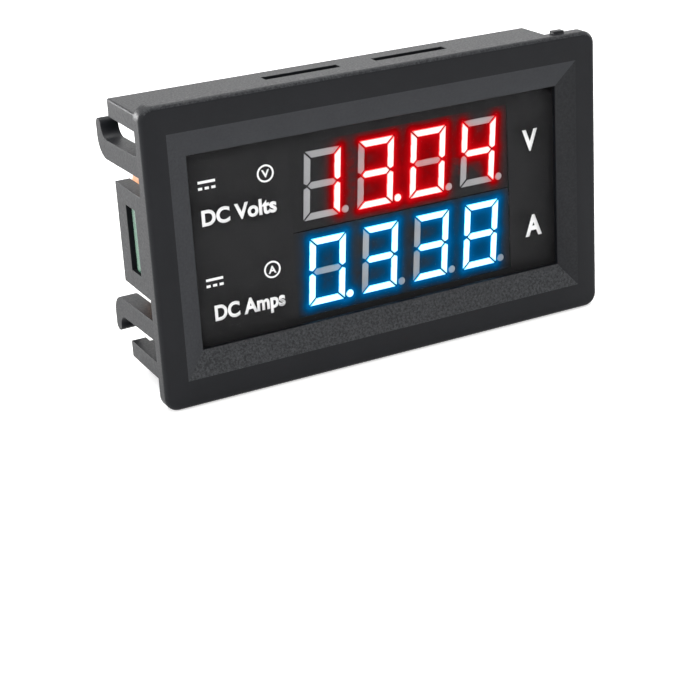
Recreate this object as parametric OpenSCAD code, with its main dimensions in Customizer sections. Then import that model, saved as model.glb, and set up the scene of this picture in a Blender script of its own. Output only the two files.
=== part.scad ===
// Snap-in digital panel meter with a voltage row and a current row.
// The origin is the centre of the bezel's rear face, which bears on the panel.
// +X is to the right as the display is read, +Y points into the panel, +Z is up.

/* [Bezel] */
// Width of the bezel
bezel_w = 48; // [47.6:0.1:54]
// Height of the bezel
bezel_h = 29; // [28:0.1:34]
// Thickness of the bezel flange in front of the panel
bezel_t = 1.6; // [1.4:0.1:2.2]
// Radius of the bezel's four corners
bezel_corner_r = 1.3; // [1:0.1:1.9]
// Radius along the bezel's front edge
bezel_edge_r = 0.45; // [0.3:0.05:0.9]
// Width of the flat border at the left and right
border_end_w = 2.35; // [1.8:0.05:2.8]
// Width of the flat border at the top and bottom
border_long_w = 2.7; // [2.2:0.05:3.2]
// Width of the sloped frame at the left and right of the window
slope_end_w = 2; // [0.6:0.1:2.4]
// Width of the sloped frame above and below the window
slope_long_w = 2.45; // [0.6:0.1:3]
// Depth of the sloped frame at the window's edge
slope_d = 0.75; // [0.3:0.05:0.85]
// Thickness of the lip that the window rests against
lip_t = 0.5; // [0.4:0.05:0.6]

/* [Sleeve] */
// How far the bezel stands out past the sleeve at the left and right
flange_end = 1.1; // [0.8:0.05:1.4]
// How far the bezel stands out past the sleeve at the top and bottom
flange_long = 1.5; // [1:0.05:1.8]
// Depth of the sleeve behind the panel's front face
sleeve_d = 9.8; // [9.2:0.1:12]
// Radius of the sleeve's corners
sleeve_corner_r = 0.2; // [0.1:0.1:0.9]
// Thickness of the two end walls
end_wall = 1.5; // [1.2:0.1:1.7]
// Thickness of the top and bottom walls
long_wall = 1.3; // [1:0.1:1.4]
// Length of each slot in the top and bottom walls
relief_l = 8; // [4:0.5:10]
// Width of each slot in the top and bottom walls
relief_w = 1.1; // [0.6:0.1:1.3]
// Bridge between the two slots in a wall
relief_bridge = 3.9; // [2:0.1:6]
// Distance from the middle of the sleeve to the middle of that bridge
relief_x = 1.9; // [-4:0.1:4]
// Width of the stub left at the moulding gate on the bezel's top edge
gate_w = 1.2; // [0.8:0.1:2]
// Height of that stub
gate_h = 0.3; // [0.1:0.05:0.4]

/* [Snap tongues and arms] */
// Height of the tongue in the middle of each end wall
tongue_h = 10; // [9:0.1:10.6]
// Height of the window in each tongue
tongue_window_h = 6.5; // [5.5:0.1:7]
// Depth of the window in each tongue
tongue_window_d = 2.35; // [1.9:0.05:2.7]
// Gap between a tongue and the arm beside it
arm_gap = 1.95; // [1.5:0.05:2.2]
// Height of each snap arm
arm_h = 2; // [1.6:0.1:2.2]
// Gap between a snap arm and the corner of the sleeve beyond it
corner_gap = 2.3; // [1.9:0.1:2.5]
// Thickness of each snap arm
arm_t = 1.8; // [1.2:0.1:1.9]
// Angle that each snap arm splays outwards
arm_splay = 1.8; // [0:0.1:2.5]
// Depth of the arms' hooked ends behind the panel's front face
hook_d = 12.5; // [11.5:0.1:14]
// Outer radius of a hook's bend
hook_r = 2; // [1.6:0.1:2.4]
// Thickness of a hook
hook_t = 1.25; // [0.9:0.05:1.4]
// Height of a hook's tip above its arm
hook_rise = 1.8; // [1.3:0.05:2]

/* [Window] */
// Thickness of the smoked window
window_t = 1; // [0.8:0.1:1.2]
// Width of the lip that the window covers on each side
window_cover = 1.3; // [0.8:0.1:1.4]

/* [Displays] */
// Pitch of the digits
digit_pitch = 5.74; // [5.5:0.01:6]
// Width of a digit
digit_w = 3.9; // [3.4:0.05:4.1]
// Height of a digit
digit_h = 6.75; // [6:0.05:7.2]
// Width of a segment
segment_w = 0.7; // [0.5:0.05:0.9]
// Gap between two segments
segment_gap = 0.14; // [0.1:0.01:0.2]
// Slant of the digits
digit_slant = 4.5; // [0:0.5:8]
// Diameter of a decimal point
point_dia = 0.8; // [0.6:0.05:0.9]
// Height of one row's display block
display_h = 8.54; // [8.3:0.02:8.6]
// Gap between the two rows' display blocks
row_gap = 0.1; // [0.05:0.01:0.3]
// Distance from the displays to the window's right edge
display_right = 4.7; // [3:0.1:6]
// Distance from the pair of rows down from the bezel's centre
display_drop = 0.6; // [0:0.05:0.8]
// Depth of a display's light shell
shell_t = 2.8; // [2.4:0.1:3.2]
// Thickness of a display's base
display_base_t = 0.8; // [0.6:0.1:1]
// Gap between a display's base and the circuit board
standoff = 0.75; // [0.7:0.05:1]
// Pitch of a display's pins
display_pin_pitch = 2; // [1.8:0.05:2]
// Diameter of a display's pins
display_pin_dia = 0.5; // [0.4:0.05:0.6]
// Voltage shown, without its decimal point
voltage_digits = 1304; // [0:1:9999]
// Digit that the voltage's decimal point follows
voltage_point = 2; // [1:1:4]
// Current shown, without its decimal point
current_digits = 338; // [0:1:9999]
// Digit that the current's decimal point follows
current_point = 1; // [1:1:4]

/* [Circuit board] */
// Gap from the board's end to the end wall's inner face
board_end_gap = 1.4; // [0.6:0.1:1.6]
// Gap from the board's long edge to the wall beside it
board_side_gap = 0.2; // [0.1:0.05:0.3]
// Thickness of the board
board_t = 1.6; // [1.5:0.1:1.7]
// Height of the board's wider middle, which fills the space between the end walls
shoulder_h = 13.2; // [12.6:0.1:13.6]
// How far the board's end tabs stop short of the tongues' outer faces
tab_recess = 0.3; // [0.1:0.05:0.5]

/* [Terminals] */
// Length of the three-pin supply header
supply_l = 9.9; // [9.4:0.1:10]
// Depth of the supply header's shroud
supply_depth = 5.75; // [5.4:0.05:5.8]
// Height of the supply header above the board
supply_h = 7; // [6:0.1:8]
// Pitch of the supply header's pins
supply_pitch = 2.5; // [2.3:0.01:2.54]
// Side of the supply header's square pins
supply_pin = 0.64; // [0.5:0.01:0.7]
// Length of the two-pin current header
current_l = 7.9; // [7.6:0.1:8]
// Depth of the current header's base
current_depth = 7.6; // [7.2:0.1:8]
// Height of the current header's locking wall above the board
current_h = 9; // [8:0.1:10]
// Pitch of the current header's pins
current_pitch = 3.96; // [3.8:0.01:4]
// Side of the current header's square pins
current_pin = 1.14; // [0.9:0.01:1.2]
// Diameter of the shunt's wire
shunt_dia = 1.8; // [1.4:0.1:1.9]
// Distance between the shunt's legs
shunt_span = 10.4; // [9:0.1:11.5]
// Height of the shunt's bridge above the board, to the wire's centre
shunt_rise = 4.4; // [3.4:0.1:5]

/* [Calibration trimmers] */
// Width of a trimmer's body
trimmer_w = 3.8; // [3.6:0.1:4.2]
// Depth of a trimmer's body
trimmer_depth = 3.4; // [3.3:0.1:3.5]
// Height of a trimmer's body
trimmer_h = 1.6; // [1.4:0.1:2]
// Diameter of a trimmer's rotor
rotor_dia = 2.8; // [2.4:0.1:2.9]
// Diameter of a trimmer's stem
stem_dia = 1; // [0.8:0.1:1.2]
// Distance from the middle of the board to the middle between the trimmers
trimmer_x = 4.5; // [2:0.5:6]
// Pitch of the two trimmers
trimmer_pitch = 7; // [5:0.5:9]

/* [Fits] */
// Radial clearance of a trimmer's stem in its body
running_fit = 0.05; // [0.03:0.01:0.08]
// Clearance round the window, the board's tabs and the display blocks
seat_gap = 0.1; // [0.05:0.01:0.15]
// Clearance round cast, pressed and soldered pieces
cast_gap = 0.02; // [0.01:0.01:0.04]
// Clearance round a pin in the circuit board
hole_gap = 0.12; // [0.08:0.01:0.15]

/* [Hidden] */

$fn = 48;
// Overlap that joins or cuts cleanly
eps = 0.2;

// Outline of the window opening, the sleeve and the board, all from the bezel's size
window_w = bezel_w - 2 * (border_end_w + slope_end_w);
window_h = bezel_h - 2 * (border_long_w + slope_long_w);
sleeve_w = bezel_w - 2 * flange_end;
sleeve_h = bezel_h - 2 * flange_long;
board_w = sleeve_w - 2 * (end_wall + board_end_gap);
board_h = sleeve_h - 2 * (long_wall + board_side_gap);
shoulder_w = sleeve_w - 2 * (end_wall + board_side_gap);

// Depths behind the panel's front face, from the bezel's lip back to the board
lip_y = -bezel_t + slope_d + lip_t;
window_back = lip_y + window_t;
display_y = window_back + seat_gap;
display_back = display_y + shell_t + display_base_t;
board_y = display_back + standoff;
board_back = board_y + board_t;

// Sleeve and end walls
cavity_w = sleeve_w - 2 * end_wall;
cavity_h = sleeve_h - 2 * long_wall;
arm_z = tongue_h / 2 + arm_gap;
corner_z = arm_z + arm_h + corner_gap;
tongue_window_y = board_y - seat_gap / 2;
rib_w = 1.2;
rib_x = cavity_w / 2 - 4.9;
rib_cover = 0.7;
rib_h = (cavity_h - board_h) / 2 + rib_cover;
gate_x = bezel_w / 2 - 3.7;
gate_d = bezel_t / 2;
// Relief in the flange's rear face, so that a splayed arm clears a panel that lies on it
arm_relief_w = hook_d * sin(arm_splay) + 0.1;
arm_relief_d = 0.15;

// Window
window_plate_w = min(window_w + 2 * window_cover, cavity_w - 2 * seat_gap);
window_plate_h = min(window_h + 2 * window_cover, cavity_h - 2 * rib_h - 2 * seat_gap);

// Displays
digit_count = 4;
display_end = 0.52;
display_w = digit_count * digit_pitch + 2 * display_end;
display_x = window_w / 2 - display_w / 2 - display_right;
red_z = -display_drop + (display_h + row_gap) / 2;
blue_z = -display_drop - (display_h + row_gap) / 2;
pins_per_display = 12;
pin_row_z = display_h / 2 - 0.67;
pin_tail = 1;
point_z = -digit_h / 2 + point_dia / 2;
point_x = digit_w / 2 + segment_gap + point_dia / 2 + point_z * tan(digit_slant);
SEGMENT_NAMES = "abcdefg";
LIT = ["abcdef", "bc", "abged", "abgcd", "fgbc", "afgcd", "afgedc", "abc", "abcdefg", "abcdfg"];

// Places on the rear of the board, as [x, z]
supply_at = [board_w / 2 - supply_l / 2 - 0.25, -3.5];
current_at = [-board_w / 2 + current_l / 2 + 2.95, -5.5];
current_pin_z = -0.9;
shunt_x = -shoulder_w / 2 + shunt_dia / 2 + hole_gap + 0.28;
trimmer_z = board_h / 2 - trimmer_depth / 2 - 0.1;
controller_at = [-2.6, -1.4];
amplifier_at = [-12.6, 4.4];
regulator_at = [6.2, 2.8];
diode_at = [board_w / 2 - 4.4, 4.4];
tail_l = 0.5;
square_hole_r = sqrt(2) / 2;

// Packages as [body length, body width, body height, lead span, leads a side, lead pitch, lead width]
CONTROLLER = [6.5, 4.4, 1, 6.4, 10, 0.65, 0.22];
AMPLIFIER = [4.9, 3.9, 1.45, 6, 4, 1.27, 0.42];
lead_t = 0.15;
body_lift = 0.1;

// Small chips as [x, z, turned], each along X unless it is turned
RESISTORS = [
    [-8.2, 4.9, 1], [-6.6, 4.9, 1], [-5, 4.9, 1], [-3.4, 4.9, 1], [-1.8, 4.9, 1], [-0.2, 4.9, 1],
    [4.2, -3, 0], [4.2, -4.4, 0], [4.2, -5.8, 0], [7.4, -3, 0], [7.4, -4.4, 0], [7.4, -5.8, 0],
    [-13.9, 9.2, 0], [-11.3, 9.2, 0]
];
CAPACITORS = [
    [3.2, 5.2, 0], [6.2, -0.7, 0], [9.6, 5.2, 1], [-7.9, 0.9, 1], [-2.6, -6.2, 0], [14.2, 8.6, 0], [-16.4, 9.2, 1]
];
CHIP_R = [1.6, 0.8, 0.45, 0.3];
CHIP_C = [2, 1.25, 0.85, 0.4];

// ---- Helpers ----

// Draws a flat outline in X and Z and gives it a depth from y0 to y1
module along_y(y0, y1) {
    translate([0, y1, 0])
        rotate([90, 0, 0])
            linear_extrude(y1 - y0)
                children();
}

// Draws a flat outline in Y and Z and gives it a width from x0 to x1
module along_x(x0, x1) {
    translate([x0, 0, 0])
        rotate([90, 0, 90])
            linear_extrude(x1 - x0)
                children();
}

// A box given by its low and high corners
module box(low, high) {
    translate(low)
        cube(high - low);
}

// A round rod along Y
module rod_y(x, z, y0, y1, dia) {
    translate([x, y0, z])
        rotate([-90, 0, 0])
            cylinder(h = y1 - y0, d = dia);
}

// A turned piece along Y, from a half outline of [radius, depth] points
module turned_y(x, z, y0, outline) {
    translate([x, y0, z])
        rotate([-90, 0, 0])
            rotate_extrude()
                polygon(outline);
}

// A rectangle with round corners
module rounded_rect(w, h, r) {
    square([w - 2 * r, h], center = true);
    square([w, h - 2 * r], center = true);
    for (x = [-1, 1], y = [-1, 1])
        translate([x * (w / 2 - r), y * (h / 2 - r)])
            circle(r);
}

// Points along an arc
function arc(centre, r, from, to, steps = 8) = [
    for (i = [0 : steps]) centre + r * [cos(from + (to - from) * i / steps), sin(from + (to - from) * i / steps)]
];

// Points of an outline and their mirror images across the second axis, in order round the outline
function both_sides(points) = concat(
    points,
    [for (i = [len(points) - 1 : -1 : 0]) [-points[i].x, points[i].y]]
);

// ---- Housing ----

// Section across one edge of the bezel: square at the back and round at the front
module bezel_section(half) {
    difference() {
        translate([-half, -bezel_t])
            square([2 * half, bezel_t]);
        for (side = [-1, 1])
            translate([side * (half - bezel_edge_r / 2), -bezel_t + bezel_edge_r / 2])
                square(bezel_edge_r, center = true);
    }
    for (side = [-1, 1])
        translate([side * (half - bezel_edge_r), -bezel_t + bezel_edge_r])
            circle(bezel_edge_r);
}

// Flange with round corners and a round front edge
module bezel_blank() {
    straight_w = bezel_w - 2 * bezel_corner_r;
    straight_h = bezel_h - 2 * bezel_corner_r;
    translate([0, 0, -straight_h / 2])
        linear_extrude(straight_h)
            bezel_section(bezel_w / 2);
    translate([-straight_w / 2, 0, 0])
        rotate([90, 0, 90])
            linear_extrude(straight_w)
                rotate(90)
                    mirror([0, 1])
                        bezel_section(bezel_h / 2);
    for (x = [-1, 1], z = [-1, 1])
        translate([x * straight_w / 2, 0, z * straight_h / 2])
            rotate([-90, 0, 0])
                rotate_extrude()
                    intersection() {
                        bezel_section(bezel_corner_r);
                        translate([0, -bezel_t])
                            square([bezel_corner_r, bezel_t]);
                    }
}

// The sloped frame and the opening that it leads to: four slopes that meet in mitres
module window_cut() {
    front = -bezel_t - eps;
    edge = -bezel_t + slope_d;
    back = lip_y + eps;
    spread_w = slope_end_w * (slope_d + eps) / slope_d;
    spread_h = slope_long_w * (slope_d + eps) / slope_d;
    intersection() {
        translate([0, 0, -bezel_h])
            linear_extrude(2 * bezel_h)
                polygon(both_sides([[window_w / 2 + spread_w, front], [window_w / 2, edge], [window_w / 2, back]]));
        along_x(-bezel_w, bezel_w)
            polygon([for (p = both_sides(
                [[window_h / 2 + spread_h, front], [window_h / 2, edge], [window_h / 2, back]]
            )) [p.y, p.x]]);
    }
}

// Snap arm seen from the end: a bar that bends into a hook
module arm_outline() {
    bend = [hook_d - hook_r, arm_z + hook_r];
    tip = [hook_d - hook_t / 2, arm_z + arm_h + hook_rise - hook_t / 2];
    inner_r = hook_rise - hook_t / 2;
    crook = [hook_d - hook_t - inner_r, arm_z + arm_h + inner_r];
    polygon(concat(
        [[-eps, arm_z]],
        arc(bend, hook_r, -90, 0),
        arc(tip, hook_t / 2, 0, 180),
        arc(crook, inner_r, 0, -90),
        [[-eps, arm_z + arm_h]]
    ));
}

// Upper or lower snap arm at the right-hand end
module arm(up) {
    mirror([0, 0, up ? 0 : 1])
        translate([sleeve_w / 2, 0, 0])
            rotate([0, 0, -arm_splay])
                along_x(-arm_t, 0)
                    arm_outline();
}

// One end wall's gaps and its tongue's window
module end_wall_cuts() {
    inner = cavity_w / 2 - eps;
    outer = sleeve_w / 2 + eps;
    for (z = [-1, 1])
        mirror([0, 0, z > 0 ? 0 : 1])
            box([inner, 0, tongue_h / 2], [outer, sleeve_d + eps, corner_z]);
    box([inner, tongue_window_y, -tongue_window_h / 2],
        [outer, tongue_window_y + tongue_window_d, tongue_window_h / 2]);
}

// Slots through the top and bottom walls, just behind the board
module relief_slots() {
    for (side = [-1, 1])
        translate([relief_x + side * (relief_bridge + relief_l) / 2, board_back + relief_w / 2, 0])
            cube([relief_l, relief_w, sleeve_h + 2 * eps], center = true);
}

module housing() {
    color([0.13, 0.13, 0.14])
    union() {
        difference() {
            union() {
                bezel_blank();
                along_y(-eps, sleeve_d)
                    rounded_rect(sleeve_w, sleeve_h, sleeve_corner_r);
                box([gate_x - gate_w / 2, -gate_d, bezel_h / 2 - eps],
                    [gate_x + gate_w / 2, 0, bezel_h / 2 + gate_h]);
            }
            window_cut();
            along_y(lip_y, sleeve_d + eps)
                square([cavity_w, cavity_h], center = true);
            for (x = [0, 1])
                mirror([x, 0, 0])
                    end_wall_cuts();
            relief_slots();
            for (x = [0, 1])
                mirror([x, 0, 0])
                    box([sleeve_w / 2, -arm_relief_d, -corner_z], [sleeve_w / 2 + arm_relief_w, eps, corner_z]);
        }
        for (x = [0, 1])
            mirror([x, 0, 0]) {
                arm(true);
                arm(false);
            }
        for (x = [-1, 1], z = [-1, 1])
            translate([x * rib_x, (lip_y + board_y) / 2, z * (cavity_h / 2 - rib_h / 2 + eps / 2)])
                cube([rib_w, board_y - lip_y, rib_h + eps], center = true);
    }
}

// ---- Window ----

module window() {
    color([0.16, 0.16, 0.17])
    along_y(lip_y, window_back)
        rounded_rect(window_plate_w, window_plate_h, 0.4);
}

// ---- Displays ----

// Segment outlines in a digit of width w and height h, with segments t wide and a gap g between them
function upright_segment(name, w, h, t, g) =
    let (
        x = w / 2,
        z = h / 2,
        m = g * 0.707,
        across = [[-x + m, z], [x - m, z], [x - m - t, z - t], [-x + m + t, z - t]],
        upper = [[x, z - m], [x, t / 4 + m], [x - t / 2, m], [x - t, t / 2 + m], [x - t, z - t - m]]
    )
    name == "a" ? across :
    name == "b" ? upper :
    name == "c" ? flip_z(upper) :
    name == "d" ? flip_z(across) :
    name == "e" ? flip_x(flip_z(upper)) :
    name == "f" ? flip_x(upper) :
    [[-x + t / 2 + m, 0], [-x + t + m, t / 2], [x - t - m, t / 2],
     [x - t / 2 - m, 0], [x - t - m, -t / 2], [-x + t + m, -t / 2]];
function flip_x(points) = [for (p = points) [-p.x, p.y]];
function flip_z(points) = [for (p = points) [p.x, -p.y]];
function slanted(points) = [for (p = points) [p.x + p.y * tan(digit_slant), p.y]];

// Middle of a digit, counted from 0 at the left
function digit_x(i) = display_x + (i - (digit_count - 1) / 2) * digit_pitch;

// One of a number's four digits, counted from 0 at the left
function digit_of(number, i) = floor(number / pow(10, digit_count - 1 - i)) % 10;
function is_lit(number, i, name) = len(search(name, LIT[digit_of(number, i)])) > 0;

module segment(i, name, shrink) {
    translate([digit_x(i), 0])
        polygon(slanted(upright_segment(
            name, digit_w - 2 * shrink, digit_h - 2 * shrink, segment_w - 2 * shrink, segment_gap + 2 * shrink
        )));
}

module point(i, shrink) {
    translate([digit_x(i) + point_x, point_z])
        circle(d = point_dia - 2 * shrink);
}

// Light shell: a block with an opening for each segment and point
module display_shell(z) {
    translate([0, 0, z])
        difference() {
            along_y(display_y, display_y + shell_t)
                translate([display_x, 0])
                    square([display_w, display_h], center = true);
            along_y(display_y - eps, display_y + shell_t + eps)
                for (i = [0 : digit_count - 1]) {
                    for (name = SEGMENT_NAMES)
                        segment(i, name, 0);
                    point(i, 0);
                }
        }
}

// Clear resin cast in the openings, either in those that are lit or in the others
module display_segments(z, number, point_after, lit) {
    translate([0, 0, z])
        along_y(display_y, display_y + shell_t)
            for (i = [0 : digit_count - 1]) {
                for (name = SEGMENT_NAMES)
                    if (is_lit(number, i, name) == lit)
                        segment(i, name, cast_gap);
                if ((i == point_after - 1) == lit)
                    point(i, cast_gap);
            }
}

// Base that carries the light chips and the pins
module display_base(z) {
    translate([0, 0, z])
        along_y(display_y + shell_t, display_back)
            translate([display_x, 0])
                square([display_w, display_h], center = true);
}

function display_pin_x(i) = display_x + (i - (pins_per_display - 1) / 2) * display_pin_pitch;

module display_pins(z) {
    for (i = [0 : pins_per_display - 1])
        rod_y(display_pin_x(i), z, display_back, board_back + pin_tail, display_pin_dia);
}

module red_display_shell() {
    color([0.1, 0.1, 0.1])
    display_shell(red_z);
}

module red_display_base() {
    color([0.75, 0.75, 0.72])
    display_base(red_z);
}

module red_segments_lit() {
    color([1, 0.25, 0.2])
    display_segments(red_z, voltage_digits, voltage_point, true);
}

module red_segments_unlit() {
    color([0.6, 0.6, 0.6])
    display_segments(red_z, voltage_digits, voltage_point, false);
}

module red_display_pins() {
    color([0.75, 0.75, 0.76])
    display_pins(red_z + pin_row_z);
}

module blue_display_shell() {
    color([0.1, 0.1, 0.1])
    display_shell(blue_z);
}

module blue_display_base() {
    color([0.75, 0.75, 0.72])
    display_base(blue_z);
}

module blue_segments_lit() {
    color([0.3, 0.6, 1])
    display_segments(blue_z, current_digits, current_point, true);
}

module blue_segments_unlit() {
    color([0.6, 0.6, 0.6])
    display_segments(blue_z, current_digits, current_point, false);
}

module blue_display_pins() {
    color([0.75, 0.75, 0.76])
    display_pins(blue_z - pin_row_z);
}

// ---- Circuit board ----

// Every pin that passes through the board, as [x, z, hole diameter]
function supply_pin_x(i) = supply_at.x + (i - 1) * supply_pitch;
function current_pin_x(i) = current_at.x + (i - 0.5) * current_pitch;
display_holes = [
    for (i = [0 : pins_per_display - 1], z = [red_z + pin_row_z, blue_z - pin_row_z])
        [display_pin_x(i), z, display_pin_dia + 2 * hole_gap]
];
terminal_holes = concat(
    [for (i = [0 : 2]) [supply_pin_x(i), supply_at.y, supply_pin * 2 * square_hole_r + 2 * hole_gap]],
    [for (i = [0 : 1])
        [current_pin_x(i), current_at.y + current_pin_z, current_pin * 2 * square_hole_r + 2 * hole_gap]],
    [for (z = [-1, 1]) [shunt_x, z * shunt_span / 2, shunt_dia + 2 * hole_gap]]
);

module board() {
    tab_w = sleeve_w - 2 * tab_recess;
    tab_h = tongue_window_h - 2 * seat_gap;
    color([0.1, 0.35, 0.22])
    difference() {
        along_y(board_y, board_back) {
            rounded_rect(board_w, board_h, 0.5);
            square([shoulder_w, shoulder_h], center = true);
            square([tab_w, tab_h], center = true);
        }
        for (hole = concat(display_holes, terminal_holes))
            rod_y(hole.x, hole.y, board_y - eps, board_back + eps, hole.z);
    }
}

// ---- Supply header ----

module supply_header() {
    wall = 0.8;
    floor_t = 2;
    slot_w = 1.1;
    slot_x = supply_pitch / 2 + 0.5;
    notch_w = 2.2;
    top = board_back + supply_h;
    color([0.93, 0.92, 0.88])
    translate([supply_at.x, 0, supply_at.y])
        difference() {
            along_y(board_back, top)
                square([supply_l, supply_depth], center = true);
            along_y(board_back + floor_t, top + eps)
                square([supply_l - 2 * wall, supply_depth - 2 * wall], center = true);
            for (side = [-1, 1]) {
                translate([side * slot_x, top - supply_h * 0.3, -supply_depth / 2])
                    cube([slot_w, supply_h * 0.6 + eps, 2 * wall + eps], center = true);
                translate([side * supply_l / 2, top - supply_h * 0.25, 0])
                    cube([2 * wall + eps, supply_h * 0.5 + eps, notch_w], center = true);
            }
            for (i = [0 : 2])
                along_y(board_back - eps, board_back + floor_t + eps)
                    translate([supply_pin_x(i) - supply_at.x, 0])
                        square(supply_pin + 2 * cast_gap, center = true);
        }
}

module supply_header_pins() {
    color([0.85, 0.8, 0.6])
    for (i = [0 : 2])
        along_y(board_y - tail_l, board_back + supply_h - 0.9)
            translate([supply_pin_x(i), supply_at.y])
                square(supply_pin, center = true);
}

// ---- Current header ----

module current_header() {
    base_t = 3.4;
    wall = 1.3;
    rib = 0.9;
    color([0.93, 0.92, 0.88])
    translate([current_at.x, 0, current_at.y])
        difference() {
            union() {
                along_y(board_back, board_back + base_t)
                    square([current_l, current_depth], center = true);
                along_y(board_back, board_back + current_h)
                    translate([0, current_depth / 2 - wall / 2])
                        square([current_l, wall], center = true);
                for (side = [-1, 1])
                    along_y(board_back, board_back + current_h - 1)
                        translate([side * (current_l - rib) / 2, current_depth / 2 - wall - rib / 2])
                            square([rib, rib + eps], center = true);
            }
            for (i = [0 : 1])
                along_y(board_back - eps, board_back + base_t + eps)
                    translate([current_pin_x(i) - current_at.x, current_pin_z])
                        square(current_pin + 2 * cast_gap, center = true);
        }
}

module current_header_pins() {
    color([0.85, 0.85, 0.83])
    for (i = [0 : 1])
        along_y(board_y - tail_l, board_back + current_h - 0.6)
            translate([current_pin_x(i), current_at.y + current_pin_z])
                square(current_pin, center = true);
}

// ---- Shunt ----

module shunt() {
    bend_r = shunt_dia;
    bridge_y = board_back + shunt_rise;
    leg_z = shunt_span / 2;
    color([0.72, 0.4, 0.22])
    translate([shunt_x, 0, 0]) {
        for (side = [0, 1])
            mirror([0, 0, side]) {
                rod_y(0, leg_z, board_y - tail_l, bridge_y - bend_r, shunt_dia);
                translate([0, bridge_y - bend_r, leg_z - bend_r])
                    rotate([90, 0, 90])
                        rotate_extrude(angle = 90)
                            translate([bend_r, 0])
                                circle(d = shunt_dia);
            }
        translate([0, bridge_y, 0])
            cylinder(h = 2 * (leg_z - bend_r), d = shunt_dia, center = true);
    }
}

// ---- Calibration trimmers ----

function trimmer_place(side) = trimmer_x + side * trimmer_pitch / 2;

module trimmer_body(side) {
    cup_d = 0.65;
    color([0.2, 0.35, 0.6])
    difference() {
        translate([trimmer_place(side), board_back + trimmer_h / 2, trimmer_z])
            cube([trimmer_w, trimmer_h, trimmer_depth], center = true);
        rod_y(trimmer_place(side), trimmer_z, board_back + trimmer_h - cup_d, board_back + trimmer_h + eps,
              rotor_dia + 4 * running_fit);
        rod_y(trimmer_place(side), trimmer_z, board_back - eps, board_back + trimmer_h, stem_dia + 2 * running_fit);
    }
}

module trimmer_rotor(side) {
    rotor_t = 0.55;
    top = board_back + trimmer_h;
    color([0.85, 0.75, 0.45])
    difference() {
        union() {
            rod_y(trimmer_place(side), trimmer_z, top - rotor_t, top, rotor_dia);
            rod_y(trimmer_place(side), trimmer_z, board_back + seat_gap, top - rotor_t / 2, stem_dia);
        }
        for (turn = [0, 90])
            translate([trimmer_place(side), top, trimmer_z])
                rotate([0, turn, 0])
                    cube([rotor_dia * 0.72, rotor_t, 0.45], center = true);
    }
}

module voltage_trimmer() {
    trimmer_body(-1);
}

module voltage_trimmer_rotor() {
    trimmer_rotor(-1);
}

module current_trimmer() {
    trimmer_body(1);
}

module current_trimmer_rotor() {
    trimmer_rotor(1);
}

// ---- Chips with bent leads ----

// Body of a package, lying along X on the board at a place, with a dimple by its first lead
module package_body(package, place) {
    back = board_back + body_lift + package[2];
    difference() {
        translate([place.x, board_back + body_lift + package[2] / 2, place.y])
            cube([package[0], package[2], package[1]], center = true);
        rod_y(place.x - package[0] / 2 + 0.8, place.y - package[1] / 2 + 0.8, back - 0.1, back + eps, 0.7);
    }
}

// Leads of a package: out of the body's side, down and flat on the board
module package_leads(package, place) {
    middle = board_back + body_lift + package[2] / 2;
    side = package[1] / 2;
    foot = package[3] / 2;
    knee = (side + foot) / 2 - lead_t;
    for (turn = [0, 1], i = [0 : package[4] - 1])
        translate([place.x + (i - (package[4] - 1) / 2) * package[5], 0, place.y])
            mirror([0, 0, turn])
                along_x(-package[6] / 2, package[6] / 2)
                    polygon([
                        [middle + lead_t, side], [middle + lead_t, knee + lead_t],
                        [board_back + lead_t, knee + lead_t], [board_back + lead_t, foot],
                        [board_back, foot], [board_back, knee], [middle, knee], [middle, side]
                    ]);
}

module controller() {
    color([0.08, 0.08, 0.08])
    package_body(CONTROLLER, controller_at);
}

module controller_leads() {
    color([0.8, 0.8, 0.8])
    package_leads(CONTROLLER, controller_at);
}

module amplifier() {
    color([0.08, 0.08, 0.08])
    package_body(AMPLIFIER, amplifier_at);
}

module amplifier_leads() {
    color([0.8, 0.8, 0.8])
    package_leads(AMPLIFIER, amplifier_at);
}

// ---- Regulator ----
regulator_body = [4.5, 1.5, 2.5];

module regulator() {
    color([0.08, 0.08, 0.08])
    translate([regulator_at.x, board_back + lead_t + regulator_body.y / 2, regulator_at.y])
        cube(regulator_body, center = true);
}

module regulator_leads() {
    lead_w = 0.42;
    lead_pitch = 1.5;
    foot_l = 0.9;
    tab_w = 1.7;
    color([0.8, 0.8, 0.8])
    translate([regulator_at.x, board_back, regulator_at.y]) {
        for (i = [-1 : 1])
            translate([i * lead_pitch - lead_w / 2, 0, -regulator_body.z / 2 - foot_l])
                cube([lead_w, lead_t, foot_l + eps]);
        translate([-tab_w / 2, 0, 0])
            cube([tab_w, lead_t, regulator_body.z / 2 + foot_l]);
    }
}

// ---- Input diode ----
diode_body = [4.3, 2, 2.6];
diode_lift = 0.2;

module input_diode() {
    color([0.1, 0.1, 0.1])
    translate([diode_at.x, board_back + diode_lift + diode_body.y / 2, diode_at.y])
        cube(diode_body, center = true);
}

module diode_terminals() {
    strap_w = 1.45;
    color([0.8, 0.8, 0.8])
    for (side = [0, 1])
        translate([diode_at.x, board_back, diode_at.y])
            mirror([side, 0, 0])
                translate([0, 0, -strap_w / 2])
                    linear_extrude(strap_w)
                        polygon([
                            [diode_body.x / 2 - 1, 0], [diode_body.x / 2 + diode_lift, 0],
                            [diode_body.x / 2 + diode_lift, diode_body.y / 2 + diode_lift],
                            [diode_body.x / 2, diode_body.y / 2 + diode_lift],
                            [diode_body.x / 2, diode_lift], [diode_body.x / 2 - 1, diode_lift]
                        ]);
}

// ---- Small chips ----

// Middle of a chip of a size at a place
module chip_body(size, place) {
    translate([place.x, board_back + size[2] / 2, place.y])
        rotate([0, 90 * place.z, 0])
            cube([size[0] - 2 * size[3], size[2], size[1]], center = true);
}

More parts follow.
